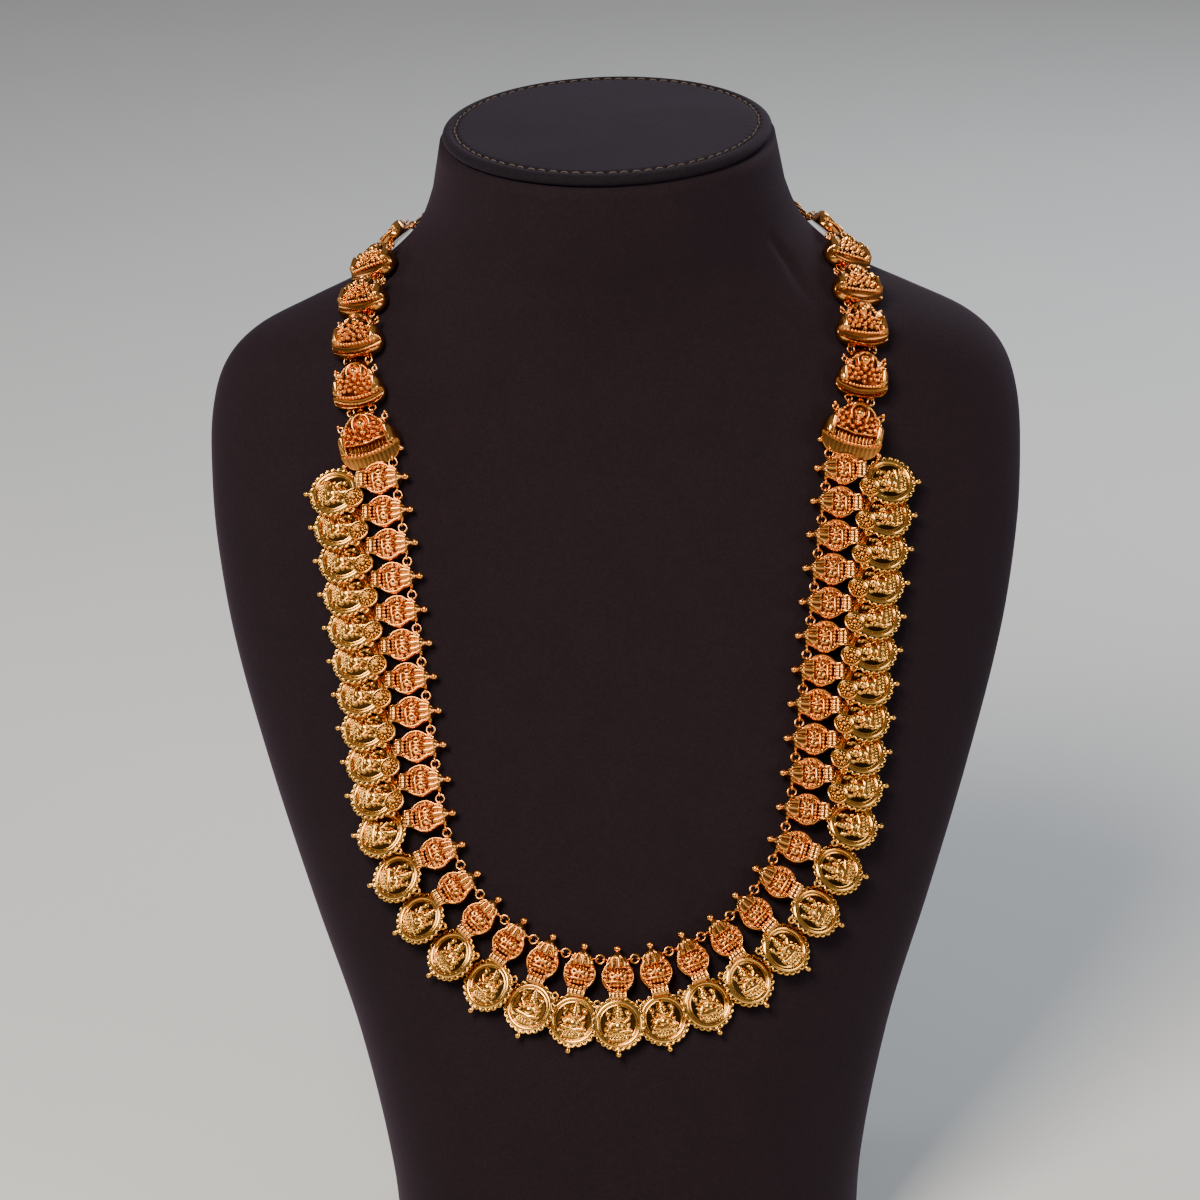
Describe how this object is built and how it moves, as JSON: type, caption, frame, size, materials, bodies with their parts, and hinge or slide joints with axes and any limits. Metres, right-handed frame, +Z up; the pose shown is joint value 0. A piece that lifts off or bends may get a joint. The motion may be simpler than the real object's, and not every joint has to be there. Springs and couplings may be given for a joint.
{
  "type": "coin necklace on a neck bust",
  "caption": "Long gold necklace of overlapping scalloped coins hung from domed beads, laid on a velvet neck-and-shoulder display bust with a padded cap",
  "frame": {"origin": "centre of the bounding box at the bust's flat base", "axes": "+Z up, the chest and coins face -Y, +X is the viewer's right"},
  "size_m": [0.2846, 0.2618, 0.3729],
  "materials": {
    "velvet": "dark plum cotton velvet, matt with a soft sheen at the edges",
    "cap_velvet": "dark plum velvet over thin padding, with a line of pale brown hand stitches",
    "gold": "high-carat yellow gold, stamped, polished on the raised parts and dark in the hollows",
    "copper_gold": "antique gold with a copper-red patina, dark in the hollows"
  },
  "bodies": {
    "root": {"neck_bust": "velvet", "bust_cap": "cap_velvet", "bead_row_left": "copper_gold", "bead_middle": "copper_gold", "bead_row_right": "copper_gold", "jump_rings": "gold", "end_piece_left": "copper_gold", "end_piece_right": "copper_gold", "domes_left": "copper_gold", "domes_right": "copper_gold", "dome_rings": "gold", "back_chain": "gold", "clasp": "gold", "coin_01": "gold", "coin_02": "gold", "coin_03": "gold", "coin_04": "gold", "coin_05": "gold", "coin_06": "gold", "coin_07": "gold", "coin_08": "gold", "coin_09": "gold", "coin_10": "gold", "coin_11": "gold", "coin_12": "gold", "coin_13": "gold", "coin_14": "gold", "coin_15": "gold", "coin_16": "gold", "coin_17": "gold", "coin_18": "gold", "coin_19": "gold", "coin_20": "gold", "coin_21": "gold", "coin_22": "gold", "coin_23": "gold", "coin_24": "gold", "coin_25": "gold", "coin_26": "gold", "coin_27": "gold", "coin_28": "gold", "coin_29": "gold", "coin_30": "gold", "coin_31": "gold", "coin_32": "gold", "coin_33": "gold", "coin_34": "gold", "coin_35": "gold"}
  },
  "joints": []
}
